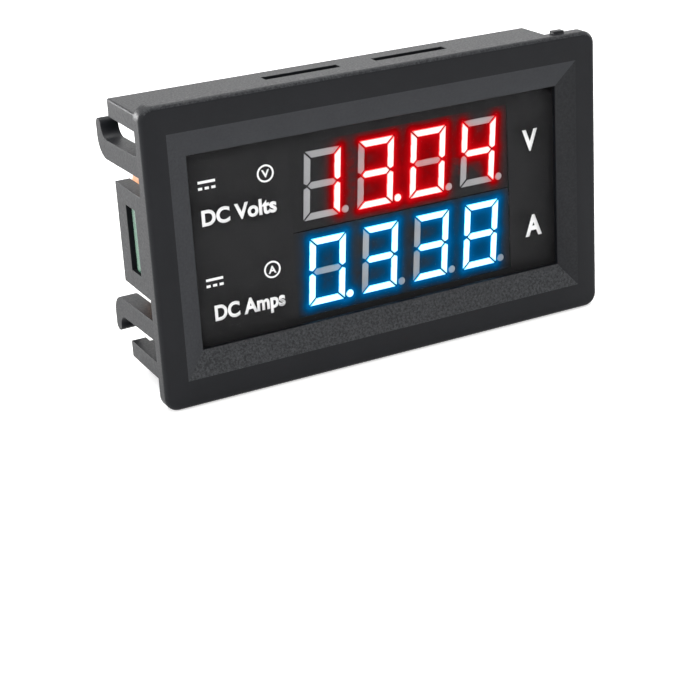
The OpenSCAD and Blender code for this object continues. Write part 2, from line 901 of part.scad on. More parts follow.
// The two metal ends of a chip
module chip_ends(size, place) {
    translate([place.x, board_back + size[2] / 2, place.y])
        rotate([0, 90 * place.z, 0])
            for (side = [-1, 1])
                translate([side * (size[0] - size[3]) / 2, 0, 0])
                    cube([size[3], size[2], size[1]], center = true);
}

module chip_resistors() {
    color([0.12, 0.12, 0.13])
    for (place = RESISTORS)
        chip_body(CHIP_R, place);
}

module chip_capacitors() {
    color([0.62, 0.5, 0.36])
    for (place = CAPACITORS)
        chip_body(CHIP_C, place);
}

module chip_terminals() {
    color([0.8, 0.8, 0.8])
    union() {
        for (place = RESISTORS)
            chip_ends(CHIP_R, place);
        for (place = CAPACITORS)
            chip_ends(CHIP_C, place);
    }
}

// ---- Solder ----

// Ring of solder round a pin whose hole is known, on the board's rear or front face
module solder_ring(hole, rear) {
    inner = hole.z / 2 - hole_gap + cast_gap;
    outer = hole.z / 2 + 0.25;
    rise = 0.45;
    outline = [[inner, 0], [outer, 0], [inner + 0.1, rise], [inner, rise]];
    if (rear)
        turned_y(hole.x, hole.y, board_back, outline);
    else
        translate([hole.x, board_y, hole.y])
            rotate([90, 0, 0])
                rotate_extrude()
                    polygon(outline);
}

module solder_joints() {
    color([0.78, 0.78, 0.78])
    union() {
        for (hole = display_holes)
            solder_ring(hole, true);
        for (hole = terminal_holes)
            solder_ring(hole, false);
    }
}

housing();
window();
red_display_shell();
red_display_base();
red_segments_lit();
red_segments_unlit();
red_display_pins();
blue_display_shell();
blue_display_base();
blue_segments_lit();
blue_segments_unlit();
blue_display_pins();
board();
supply_header();
supply_header_pins();
current_header();
current_header_pins();
shunt();
voltage_trimmer();
voltage_trimmer_rotor();
current_trimmer();
current_trimmer_rotor();
controller();
controller_leads();
amplifier();
amplifier_leads();
regulator();
regulator_leads();
input_diode();
diode_terminals();
chip_resistors();
chip_capacitors();
chip_terminals();
solder_joints();
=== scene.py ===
import math

import bmesh
import bpy
import numpy as np
from mathutils import Matrix, Vector


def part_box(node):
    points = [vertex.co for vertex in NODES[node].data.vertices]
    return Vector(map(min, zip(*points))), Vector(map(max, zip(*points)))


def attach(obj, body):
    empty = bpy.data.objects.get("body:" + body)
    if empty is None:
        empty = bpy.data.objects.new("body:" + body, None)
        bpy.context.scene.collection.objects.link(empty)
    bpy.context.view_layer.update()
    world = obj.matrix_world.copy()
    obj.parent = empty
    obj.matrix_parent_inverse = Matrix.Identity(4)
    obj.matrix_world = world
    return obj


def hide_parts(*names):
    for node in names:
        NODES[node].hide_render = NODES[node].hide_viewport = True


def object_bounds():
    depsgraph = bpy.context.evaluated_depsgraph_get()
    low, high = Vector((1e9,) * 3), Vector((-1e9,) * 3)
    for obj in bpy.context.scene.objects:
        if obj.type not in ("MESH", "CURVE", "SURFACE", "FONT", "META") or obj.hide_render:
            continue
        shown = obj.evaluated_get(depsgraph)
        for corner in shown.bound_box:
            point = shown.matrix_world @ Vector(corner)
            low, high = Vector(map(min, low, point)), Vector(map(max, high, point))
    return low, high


# Sizes and places below are in millimetres, and MM turns them into Blender's metres
MM = 0.001

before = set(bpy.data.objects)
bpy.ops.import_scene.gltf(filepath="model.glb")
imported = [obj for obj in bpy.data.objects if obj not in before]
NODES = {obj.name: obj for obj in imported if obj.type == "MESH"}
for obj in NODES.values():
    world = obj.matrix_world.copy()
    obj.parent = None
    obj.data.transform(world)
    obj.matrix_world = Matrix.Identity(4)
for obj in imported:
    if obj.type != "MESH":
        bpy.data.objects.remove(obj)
CAD_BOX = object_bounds()


# ---- Working in edit mode ----

ROUNDED_FROM = 35  # degrees: sharper edges than this get a radius
SMOOTH_UP_TO = 50  # degrees: softer edges than this are shaded smooth
MERGE_GAP = 0.004
FLAT_UP_TO = 1.0  # degrees between triangles of one flat face


def clear_selection():
    if bpy.context.object and bpy.context.object.mode != "OBJECT":
        bpy.ops.object.mode_set(mode="OBJECT")
    bpy.ops.object.select_all(action="DESELECT")


def pick(piece):
    clear_selection()
    piece.select_set(True)
    bpy.context.view_layer.objects.active = piece


def edit_all(piece):
    """Opens a piece in edit mode with all of it selected."""
    pick(piece)
    bpy.ops.object.mode_set(mode="EDIT")
    bpy.ops.mesh.select_all(action="SELECT")


def settle(piece):
    """Puts a piece's place into its mesh, so that its object is at the origin."""
    pick(piece)
    bpy.ops.object.transform_apply(location=True, rotation=True, scale=True)
    return piece


def ridden(piece, body="meter", replaces=()):
    """Fixes a finished piece to its body and hides the CAD nodes that it stands for."""
    settle(piece)
    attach(piece, body)
    if replaces:
        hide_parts(*replaces)
    return piece


def with_material(piece, material):
    piece.data.materials.clear()
    piece.data.materials.append(material)
    return piece


def block(low, high):
    """A box from corner to corner."""
    clear_selection()
    bpy.ops.mesh.primitive_cube_add(size=1)
    piece = bpy.context.object
    piece.scale = [(b - a) * MM for a, b in zip(low, high)]
    piece.location = [(a + b) / 2 * MM for a, b in zip(low, high)]
    return settle(piece)


def bevelled(piece, width, segments=2):
    """Rounds a piece's edges and keeps its large faces shaded flat between the radii."""
    pick(piece)
    bevel = piece.modifiers.new("edge radius", "BEVEL")
    bevel.width = width * MM
    bevel.segments = segments
    bevel.limit_method = "ANGLE"
    bevel.angle_limit = math.radians(ROUNDED_FROM)
    bevel.harden_normals = False
    bevel.use_clamp_overlap = True
    bpy.ops.object.modifier_apply(modifier=bevel.name)
    bpy.ops.object.shade_smooth_by_angle(angle=math.radians(SMOOTH_UP_TO))
    weights = piece.modifiers.new("flat faces", "WEIGHTED_NORMAL")
    weights.mode = "FACE_AREA"
    weights.weight = 100
    weights.keep_sharp = True
    bpy.ops.object.modifier_apply(modifier=weights.name)
    return piece


def joined(name, pieces):
    clear_selection()
    for piece in pieces:
        piece.select_set(True)
    bpy.context.view_layer.objects.active = pieces[0]
    if len(pieces) > 1:
        bpy.ops.object.join()
    pieces[0].name = name
    return pieces[0]


def softened(node, name, width, segments=2):
    """A copy of a CAD node, merged and with its edges rounded as a mould leaves them."""
    piece = NODES[node].copy()
    piece.data = NODES[node].data.copy()
    for key in [k for k in piece.keys() if k.startswith("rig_")]:
        del piece[key]
    piece.parent = None
    piece.name = name
    bpy.context.scene.collection.objects.link(piece)
    edit_all(piece)
    bpy.ops.mesh.remove_doubles(threshold=MERGE_GAP * MM)
    bpy.ops.mesh.dissolve_limited(angle_limit=math.radians(FLAT_UP_TO))
    bpy.ops.object.mode_set(mode="OBJECT")
    piece.data.materials.clear()
    return bevelled(piece, width, segments)


# ---- Parts of a finish ----

def finish(name):
    material = bpy.data.materials.new(name)
    material.use_nodes = True
    nodes = material.node_tree.nodes
    shader = nodes["Principled BSDF"]
    return material, nodes, material.node_tree.links, shader


def object_place(nodes):
    return nodes.new("ShaderNodeTexCoord").outputs["Object"]


def amount_of(nodes, attribute):
    """The amount that a piece keeps on its own faces or points under a name."""
    node = nodes.new("ShaderNodeAttribute")
    node.attribute_name = attribute
    return node.outputs["Fac"]


def feed(links, socket, value):
    """Joins a socket to an output, or sets it to a constant."""
    if isinstance(value, bpy.types.NodeSocket):
        links.new(value, socket)
    else:
        socket.default_value = value


def maths(nodes, links, operation, first, second):
    node = nodes.new("ShaderNodeMath")
    node.operation = operation
    feed(links, node.inputs[0], first)
    feed(links, node.inputs[1], second)
    return node.outputs[0]


def mixed(nodes, links, amount, first, second):
    """A colour that goes from the first to the second as the amount goes from 0 to 1."""
    node = nodes.new("ShaderNodeMix")
    node.data_type = "RGBA"
    links.new(amount, node.inputs[0])
    feed(links, node.inputs[6], first)
    feed(links, node.inputs[7], second)
    return node.outputs[2]


def noise(nodes, links, place, per_mm, detail=3.0, rough=0.55):
    texture = nodes.new("ShaderNodeTexNoise")
    texture.inputs["Scale"].default_value = per_mm / MM
    texture.inputs["Detail"].default_value = detail
    texture.inputs["Roughness"].default_value = rough
    links.new(place, texture.inputs["Vector"])
    return texture.outputs["Fac"]


def spread(nodes, links, value, low, high):
    """Stretches the middle of a noise to the range from low to high."""
    reach = nodes.new("ShaderNodeMapRange")
    reach.inputs["From Min"].default_value = 0.3
    reach.inputs["From Max"].default_value = 0.7
    reach.inputs["To Min"].default_value = low
    reach.inputs["To Max"].default_value = high
    links.new(value, reach.inputs["Value"])
    return reach.outputs["Result"]


def between(nodes, links, value, low, high, from_low=0.3, from_high=0.7):
    """Turns a noise into colours between two."""
    ramp = nodes.new("ShaderNodeValToRGB")
    ramp.color_ramp.elements[0].position = from_low
    ramp.color_ramp.elements[0].color = (*low, 1)
    ramp.color_ramp.elements[1].position = from_high
    ramp.color_ramp.elements[1].color = (*high, 1)
    links.new(value, ramp.inputs["Fac"])
    return ramp.outputs["Color"]


def bump(nodes, links, shader, height, depth, strength=1.0):
    relief = nodes.new("ShaderNodeBump")
    relief.inputs["Strength"].default_value = strength
    relief.inputs["Distance"].default_value = depth * MM
    links.new(height, relief.inputs["Height"])
    links.new(relief.outputs["Normal"], shader.inputs["Normal"])


def seen_directly(nodes, links):
    """1 where a surface is seen by the camera, in a reflection or through glass, and 0 elsewhere."""
    ray = nodes.new("ShaderNodeLightPath")
    seen = ray.outputs["Is Camera Ray"]
    for kind in ("Is Glossy Ray", "Is Transmission Ray"):
        seen = maths(nodes, links, "MAXIMUM", seen, ray.outputs[kind])
    return seen


# ---- Finishes ----

def plain_finish(name, low, high, rough, per_mm, depth, metallic=0.0, specular=0.5):
    """A finish whose colour and roughness wander between two values over a fine surface grain."""
    material, nodes, links, shader = finish(name)
    place = object_place(nodes)
    grain = noise(nodes, links, place, per_mm)
    patch = noise(nodes, links, place, per_mm / 12)
    links.new(between(nodes, links, patch, low, high), shader.inputs["Base Color"])
    links.new(spread(nodes, links, grain, *rough), shader.inputs["Roughness"])
    shader.inputs["Metallic"].default_value = metallic
    shader.inputs["Specular IOR Level"].default_value = specular
    bump(nodes, links, shader, grain, depth)
    return material


def grey(level, tint=0.0):
    """A neutral colour, with a little more or less blue by its tint."""
    return (level, level, level + tint)


def moulded_black():
    """Black plastic: satin, with matt slopes and a spark-erosion grain where the piece's faces ask for it.
    The grain's lighter speckle is painted sheen and highlight where light falls, and the right slope keeps
    the darker satin as painted shade.
    """
    material, nodes, links, shader = finish("black moulded plastic")
    place = object_place(nodes)
    fine = noise(nodes, links, place, 5.0, detail=4.0)
    coarse = noise(nodes, links, place, 4.4, detail=5.0, rough=0.75)
    patch = noise(nodes, links, place, 0.25)
    satin = between(nodes, links, patch, (0.0050, 0.0056, 0.0072), (0.0066, 0.0072, 0.0092))
    matt = between(nodes, links, patch, (0.0275, 0.0290, 0.0330), (0.0315, 0.0330, 0.0370))
    eroded_grain_and_painted_sheen = between(nodes, links, coarse, (0.014, 0.0150, 0.0165), (0.056, 0.058, 0.062), 0.38, 0.64)
    # The grain amount mixes in the grain's lighter colour, which paints sheen where light falls on the lower
    # slope and a highlight on the upper front edge
    grain = amount_of(nodes, "grain")
    # The slope amount makes the matt slopes lighter than the satin bezel; the right slope stays satin, as
    # painted shade
    matt_slopes_and_painted_shade = mixed(nodes, links, amount_of(nodes, "slope"), satin, matt)
    links.new(mixed(nodes, links, grain, matt_slopes_and_painted_shade, eroded_grain_and_painted_sheen), shader.inputs["Base Color"])
    links.new(spread(nodes, links, fine, 0.38, 0.54), shader.inputs["Roughness"])
    shader.inputs["Specular IOR Level"].default_value = 0.18
    height = nodes.new("ShaderNodeMix")
    links.new(grain, height.inputs["Factor"])
    links.new(fine, height.inputs["A"])
    links.new(coarse, height.inputs["B"])
    bump(nodes, links, shader, height.outputs["Result"], 0.012, 0.6)
    return material


def smoked_sheet():
    """Smoked acrylic: a slight tint with a polished outer face."""
    material, nodes, links, shader = finish("smoked sheet")
    wave = noise(nodes, links, object_place(nodes), 0.12, detail=2.0)
    shader.inputs["Base Color"].default_value = (0.02, 0.02, 0.021, 1)
    shader.inputs["Specular IOR Level"].default_value = 0.25
    links.new(spread(nodes, links, wave, 0.06, 0.1), shader.inputs["Roughness"])
    bump(nodes, links, shader, wave, 0.01, 0.2)
    clear = nodes.new("ShaderNodeBsdfTransparent")
    clear.inputs["Color"].default_value = (0.93, 0.93, 0.935, 1)
    fresnel = nodes.new("ShaderNodeFresnel")
    fresnel.inputs["IOR"].default_value = 1.15
    gloss = maths(nodes, links, "ADD", fresnel.outputs[0], 0.004)
    # Only the outer face reflects: a flat sheet never shuts out a slanting look from within
    inner = nodes.new("ShaderNodeNewGeometry").outputs["Backfacing"]
    outer = maths(nodes, links, "SUBTRACT", 1.0, inner)
    sheet = nodes.new("ShaderNodeMixShader")
    links.new(maths(nodes, links, "MULTIPLY", gloss, outer), sheet.inputs[0])
    links.new(clear.outputs[0], sheet.inputs[1])
    links.new(shader.outputs[0], sheet.inputs[2])
    links.new(sheet.outputs[0], nodes["Material Output"].inputs["Surface"])
    return material


def glowing(name, core, strength):
    """Resin lit from inside, a tenth brighter or darker from place to place."""
    material, nodes, links, shader = finish(name)
    cloud = noise(nodes, links, object_place(nodes), 1.4, detail=2.0)
    shader.inputs["Base Color"].default_value = (*core, 1)
    shader.inputs["Roughness"].default_value = 0.3
    shader.inputs["Emission Color"].default_value = (*core, 1)
    glow = spread(nodes, links, cloud, strength * 0.9, strength * 1.1)
    links.new(glow, shader.inputs["Emission Strength"])
    bump(nodes, links, shader, cloud, 0.005, 0.2)
    return material


def halo(name, light_colour, rim_colour, pool_colour):
    """Light scattered in the film over a display, by the amounts that are kept on the film's points.

    The film adds its light to what is behind it, and tints it: by the pool colour between lit
    segments, and by the rim colour just inside their edges.
    """
    material, nodes, links, shader = finish(name)
    cloud = noise(nodes, links, object_place(nodes), 0.9, detail=2.0)
    uneven = spread(nodes, links, cloud, 0.9, 1.1)
    light = nodes.new("ShaderNodeEmission")
    light.inputs["Color"].default_value = (*light_colour, 1)
    strength = maths(nodes, links, "MULTIPLY", amount_of(nodes, "scatter"), uneven)
    links.new(strength, light.inputs["Strength"])
    rim = mixed(nodes, links, amount_of(nodes, "rim"), (1, 1, 1, 1), (*rim_colour, 1))
    tint = mixed(nodes, links, amount_of(nodes, "pool"), rim, (*pool_colour, 1))
    clear = nodes.new("ShaderNodeBsdfTransparent")
    links.new(tint, clear.inputs["Color"])
    both = nodes.new("ShaderNodeAddShader")
    links.new(clear.outputs[0], both.inputs[0])
    links.new(light.outputs[0], both.inputs[1])
    links.new(both.outputs[0], nodes["Material Output"].inputs["Surface"])
    return material


def natural_nylon():
    """Off-white nylon that lets a little light through its edges."""
    material = plain_finish("natural nylon", (0.74, 0.72, 0.65), (0.80, 0.78, 0.72), (0.4, 0.55), 3, 0.01)
    shader = material.node_tree.nodes["Principled BSDF"]
    shader.inputs["Subsurface Weight"].default_value = 0.25
    shader.inputs["Subsurface Radius"].default_value = (0.9 * MM, 0.85 * MM, 0.7 * MM)
    return material


# Housing and window
BLACK = moulded_black()
SMOKED = smoked_sheet()
INK_BLACK = plain_finish("black ink", grey(0.0345, 0.0005), grey(0.0380, 0.0005),
                         (0.55, 0.7), 6, 0.0, specular=0.05)
INK_WHITE = plain_finish("white ink", grey(0.92), grey(0.96), (0.4, 0.55), 6, 0.002)

# Displays
SHELL = plain_finish("painted display face", grey(0.0340, 0.0005), grey(0.0375, 0.0005),
                     (0.6, 0.75), 8, 0.003, specular=0.05)
BASE = plain_finish("display base", (0.55, 0.54, 0.48), (0.62, 0.61, 0.55), (0.5, 0.65), 4, 0.006)
UNLIT = plain_finish("unlit resin", grey(0.44), grey(0.52), (0.35, 0.5), 5, 0.004)
RED_LIGHT = glowing("red lit resin", (1.0, 0.66, 0.64), 1.9)
BLUE_LIGHT = glowing("blue lit resin", (0.74, 0.93, 1.0), 1.7)
RED_HALO = halo("red scatter", (0.80, 0.003, 0.008), (1.0, 0.42, 0.40), (1.0, 0.10, 0.10))
BLUE_HALO = halo("blue scatter", (0.0, 0.15, 0.46), (0.42, 0.80, 1.0), (0.10, 0.75, 1.0))

# Board
MASK_GREEN = plain_finish("solder mask", (0.010, 0.085, 0.045), (0.016, 0.12, 0.06),
                          (0.22, 0.34), 2.5, 0.008, specular=0.6)
MASK_TRACK = plain_finish("mask over copper", (0.022, 0.17, 0.085), (0.03, 0.2, 0.1),
                          (0.2, 0.3), 2.5, 0.006, specular=0.6)
LEGEND = plain_finish("white legend ink", (0.72, 0.72, 0.70), (0.8, 0.8, 0.78), (0.5, 0.65), 6, 0.003)
SOLDER = plain_finish("bright solder", grey(0.42, 0.01), grey(0.56, 0.01),
                      (0.18, 0.36), 3, 0.02, metallic=1.0)
TINNED = plain_finish("tinned metal", grey(0.44), grey(0.56, -0.01), (0.26, 0.42), 5, 0.006, metallic=1.0)
WIRE = plain_finish("drawn resistance wire", (0.46, 0.20, 0.10), (0.60, 0.30, 0.16),
                    (0.25, 0.42), 4, 0.006, metallic=1.0)

# Parts on the board
NYLON = natural_nylon()
TRIMMER = plain_finish("trimmer body", (0.60, 0.57, 0.47), (0.66, 0.63, 0.53), (0.45, 0.6), 4, 0.006)
ROTOR = plain_finish("stamped rotor", (0.40, 0.37, 0.29), (0.50, 0.46, 0.37),
                     (0.3, 0.46), 5, 0.005, metallic=1.0)
EPOXY = plain_finish("chip epoxy", grey(0.018, 0.001), grey(0.028), (0.5, 0.68), 9, 0.008)
GLAZE = plain_finish("resistor glaze", grey(0.012, 0.002), grey(0.02, 0.002), (0.2, 0.32), 6, 0.004)
CERAMIC = plain_finish("capacitor ceramic", (0.36, 0.24, 0.14), (0.44, 0.31, 0.19),
                       (0.45, 0.6), 6, 0.006)

# CAD nodes that are shown as they are
CAD_FINISHES = {
    "window": SMOKED,
    "red_display_shell": SHELL,
    "red_display_base": BASE,
    "red_segments_lit": RED_LIGHT,
    "red_segments_unlit": UNLIT,
    "red_display_pins": TINNED,
    "blue_display_shell": SHELL,
    "blue_display_base": BASE,
    "blue_segments_lit": BLUE_LIGHT,
    "blue_segments_unlit": UNLIT,
    "blue_display_pins": TINNED,
    "board": MASK_GREEN,
    "supply_header_pins": TINNED,
    "current_header_pins": TINNED,
    "controller_leads": TINNED,
    "amplifier_leads": TINNED,
    "regulator_leads": TINNED,
    "diode_terminals": TINNED,
    "chip_resistors": GLAZE,
    "chip_capacitors": CERAMIC,
    "chip_terminals": SOLDER,
    "solder_joints": SOLDER,
    "shunt": WIRE,
}
CAD_SMOOTH_UP_TO = 30  # degrees

for node, material in CAD_FINISHES.items():
    with_material(NODES[node], material)
    pick(NODES[node])
    bpy.ops.object.shade_smooth_by_angle(angle=math.radians(CAD_SMOOTH_UP_TO))


# ---- Camera ----

CAMERA_PLACE = (-73.13, -140.52, 52.09)
CAMERA_AZIMUTH = 27.58
CAMERA_ELEVATION = 19.48
CAMERA_ROLL = -2.914


def make_camera():
    """Looks from the left and above, slightly rolled."""
    azimuth, elevation, roll = map(math.radians, (CAMERA_AZIMUTH, CAMERA_ELEVATION, CAMERA_ROLL))
    level = Vector((math.cos(azimuth), -math.sin(azimuth), 0))
    away = Vector((math.sin(azimuth), math.cos(azimuth), 0))
    forward = math.cos(elevation) * away - math.sin(elevation) * Vector((0, 0, 1))
    right = math.cos(roll) * level + math.sin(roll) * level.cross(forward)
    up = right.cross(forward)
    clear_selection()
    bpy.ops.object.camera_add()
    camera = bpy.context.object
    camera.name = "camera"
    turn = Matrix((right, up, -forward)).transposed().to_4x4()
    camera.matrix_world = Matrix.Translation(Vector(CAMERA_PLACE) * MM) @ turn
    camera.data.sensor_width = 36
    camera.data.lens = 89.16
    camera.data.shift_x = -0.05
    camera.data.shift_y = -0.143
    camera.data.clip_start = 0.005
    camera.data.clip_end = 10
    bpy.context.scene.camera = camera


make_camera()


# ---- Housing and parts with moulded edges ----

HOUSING_EDGE = 0.05
HEADER_EDGE = 0.08
TRIMMER_EDGE = 0.06
ROTOR_EDGE = 0.04
CHIP_EDGE = 0.05

# How strong the spark-erosion grain is. Its lighter colour also paints sheen where light falls, so it is
# strongest on the lower slope, which faces up
GRAIN_AND_PAINTED_SHEEN_LOWER_SLOPE = 1.0
GRAIN_AND_PAINTED_SHEEN_UPPER_SLOPE = 0.1
GRAIN_AND_PAINTED_SHEEN_SIDE_SLOPES = 0.2
GRAIN_AND_PAINTED_HIGHLIGHT_UPPER_EDGE = 0.7


def surface_and_painted_light_of(face, front):
    """How strong a housing face's grain and its painted sheen are, and whether it is a matt slope of the
    window's frame; the right slope counts as satin, which paints its shade.
    """
    middle, normal = face.center / MM, face.normal
    depth = middle.y - front
    within_bezel = 0.03 < depth < 0.9 and abs(middle.x) < 22.2 and abs(middle.z) < 12.4
    if within_bezel and -0.99 < normal.y < -0.8:
        if normal.z > 0.15:
            grain = GRAIN_AND_PAINTED_SHEEN_LOWER_SLOPE
        elif normal.z < -0.15:
            grain = GRAIN_AND_PAINTED_SHEEN_UPPER_SLOPE
        else:
            grain = GRAIN_AND_PAINTED_SHEEN_SIDE_SLOPES
        # The slope at the right keeps the darker satin of the bezel, which is painted shade on that slope
        matt = 0.0 if normal.x < -0.15 else 1.0
        return grain, matt
    if middle.z > 13.9 and 0.2 < normal.z < 0.95 and normal.y < -0.2:
        # The bezel's upper front edge gets the grain, whose lighter speckle is a painted highlight along that
        # edge
        return GRAIN_AND_PAINTED_HIGHLIGHT_UPPER_EDGE, 0.0
    return 0.0, 0.0


def make_housing():
    piece = softened("housing", "moulded_housing", HOUSING_EDGE)
    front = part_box("housing")[0].y / MM
    surfaces_and_painted_light = [surface_and_painted_light_of(face, front) for face in piece.data.polygons]
    # The grain and slope amounts also carry painted light and shade: sheen on the lower slope, a highlight on
    # the upper front edge, shade on the right slope
    for name, amounts in zip(("grain", "slope"), zip(*surfaces_and_painted_light)):
        layer = piece.data.attributes.new(name, "FLOAT", "FACE")
        layer.data.foreach_set("value", amounts)
    with_material(piece, BLACK)
    ridden(piece, replaces=["housing"])


def make_softened(node, width, material, body="meter", segments=2):
    piece = softened(node, node + "_finished", width, segments)
    with_material(piece, material)
    ridden(piece, body=body, replaces=[node])


make_housing()
for node in ("supply_header", "current_header"):
    make_softened(node, HEADER_EDGE, NYLON)
for node in ("voltage_trimmer", "current_trimmer"):
    make_softened(node, TRIMMER_EDGE, TRIMMER)
for node, body in (("voltage_trimmer_rotor", "voltage_trim"), ("current_trimmer_rotor", "current_trim")):
    make_softened(node, ROTOR_EDGE, ROTOR, body)
for node in ("controller", "amplifier", "regulator", "input_diode"):
    make_softened(node, CHIP_EDGE, EPOXY, segments=1)


# ---- Window print ----

MASK_MARGIN = 0.2
MASK_GAP = 0.01
MASK_T = 0.03
PRINT_T = 0.02
PRINT_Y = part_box("window")[0].y / MM - PRINT_T
PRINT_MERGE_GAP = 0.002
# Height of a capital in the typeface's own units, and how much its strokes are thickened
CAPITAL = 0.729
STROKE = 0.034


def thicken(piece, thickness, merge=True):
    """Gives a flat print its thickness, away from the front."""
    edit_all(piece)
    if merge:
        bpy.ops.mesh.remove_doubles(threshold=PRINT_MERGE_GAP * MM)
    bpy.ops.mesh.extrude_region_move(TRANSFORM_OT_translate={"value": (0, thickness * MM, 0)})
    bpy.ops.mesh.select_all(action="SELECT")
    bpy.ops.mesh.normals_make_consistent(inside=False)
    bpy.ops.object.mode_set(mode="OBJECT")


def make_window_mask():
    """Black print behind the window, open in front of the displays."""
    low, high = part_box("window")
    shell_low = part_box("blue_display_shell")[0]
    shell_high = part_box("red_display_shell")[1]
    clear_selection()
    bpy.ops.mesh.primitive_plane_add(size=1, rotation=(math.pi / 2, 0, 0))
    piece = bpy.context.object
    piece.name = "window_print"
    margins = 2 * MASK_MARGIN * MM
    piece.scale = (high.x - low.x - margins, high.z - low.z - margins, 1)
    piece.location = ((low.x + high.x) / 2, high.y + MASK_GAP * MM, (low.z + high.z) / 2)
    settle(piece)
    edit_all(piece)
    # Cut along the four sides of the displays, then take out the middle
    across, upward = (1, 0, 0), (0, 0, 1)
    for corner in (shell_low, shell_high):
        for normal in (across, upward):
            bpy.ops.mesh.select_all(action="SELECT")
            bpy.ops.mesh.bisect(plane_co=(corner.x, 0, corner.z), plane_no=normal)
    bpy.ops.mesh.select_all(action="DESELECT")
    mesh = bmesh.from_edit_mesh(piece.data)
    for face in mesh.faces:
        middle = face.calc_center_median()
        face.select = shell_low.x < middle.x < shell_high.x and shell_low.z < middle.z < shell_high.z
    bmesh.update_edit_mesh(piece.data)
    bpy.ops.mesh.delete(type="FACE")
    thicken(piece, MASK_T, merge=False)
    with_material(piece, INK_BLACK)
    ridden(piece)


def lettering(words, x, z, height, width):
    """Words on the window's face: left edge at x, foot at z, with capitals of a height."""
    clear_selection()
    bpy.ops.object.text_add()
    piece = bpy.context.object
    piece.data.body = words
    piece.data.size = 1.0
    piece.data.extrude = 0.0
    piece.data.offset = STROKE
    piece.data.resolution_u = 6
    bpy.ops.object.convert(target="MESH")
    piece = bpy.context.object
    points = piece.data.vertices
    left = min(p.co.x for p in points)
    right = max(p.co.x for p in points)
    wide = width / (right - left)
    tall = height / CAPITAL
    for p in points:
        p.co = ((x + (p.co.x - left) * wide) * MM, PRINT_Y * MM, (z + p.co.y * tall) * MM)
    thicken(piece, PRINT_T)
    return piece


def print_bar(x, z, width, height):
    return block((x, PRINT_Y, z), (x + width, PRINT_Y + PRINT_T, z + height))


def print_ring(x, z, radius, line):
    clear_selection()
    bpy.ops.mesh.primitive_circle_add(
        vertices=40, radius=radius * MM, rotation=(math.pi / 2, 0, 0),
        location=(x * MM, PRINT_Y * MM, z * MM), fill_type="NGON")
    ring = bpy.context.object
    edit_all(ring)
    bpy.ops.mesh.inset(thickness=line * MM)
    bpy.ops.mesh.delete(type="FACE")
    bpy.ops.object.mode_set(mode="OBJECT")
    settle(ring)
    thicken(ring, PRINT_T)
    return ring


def direct_current_sign(x, foot):
    """A solid bar over three short dashes."""
    line, dash, pitch, rise = 0.25, 0.40, 0.65, 0.60
    bar = print_bar(x, foot + rise, 2 * pitch + dash, line)
    return [bar] + [print_bar(x + i * pitch, foot, dash, line) for i in range(3)]


def ringed_letter(letter, x, z):
    return [print_ring(x, z, 0.85, 0.17), lettering(letter, x - 0.4, z - 0.35, 0.72, 0.8)]


def make_window_legends():
    prints = [
        lettering("DC Volts", -18.5, 2.35, 1.5, 7.5),
        lettering("DC Amps", -18.0, -7.0, 1.5, 7.2),
        lettering("V", 16.05, 3.2, 2.15, 1.75),
        lettering("A", 16.2, -5.8, 2.2, 1.95),
    ]
    for letter, foot in (("V", 5.75), ("A", -3.65)):
        prints += direct_current_sign(-18.6, foot)
        prints += ringed_letter(letter, -11.9, foot + 0.4)
    piece = joined("window_legends", prints)
    with_material(piece, INK_WHITE)
    ridden(piece)


make_window_mask()
make_window_legends()


# ---- Copper and legend on the rear of the board ----

BOARD_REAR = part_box("board")[1].y / MM
COPPER_FOOT = BOARD_REAR - 0.005
TRACK_T = 0.030
TRACK_STEP = 0.004
POUR_EDGE = 0.05
LEGEND_FOOT = BOARD_REAR + 0.032
LEGEND_T = 0.02
LEGEND_LINE = 0.16
LEGEND_MARGIN = 0.35
BOARD_EDGE_MARGIN = 0.12

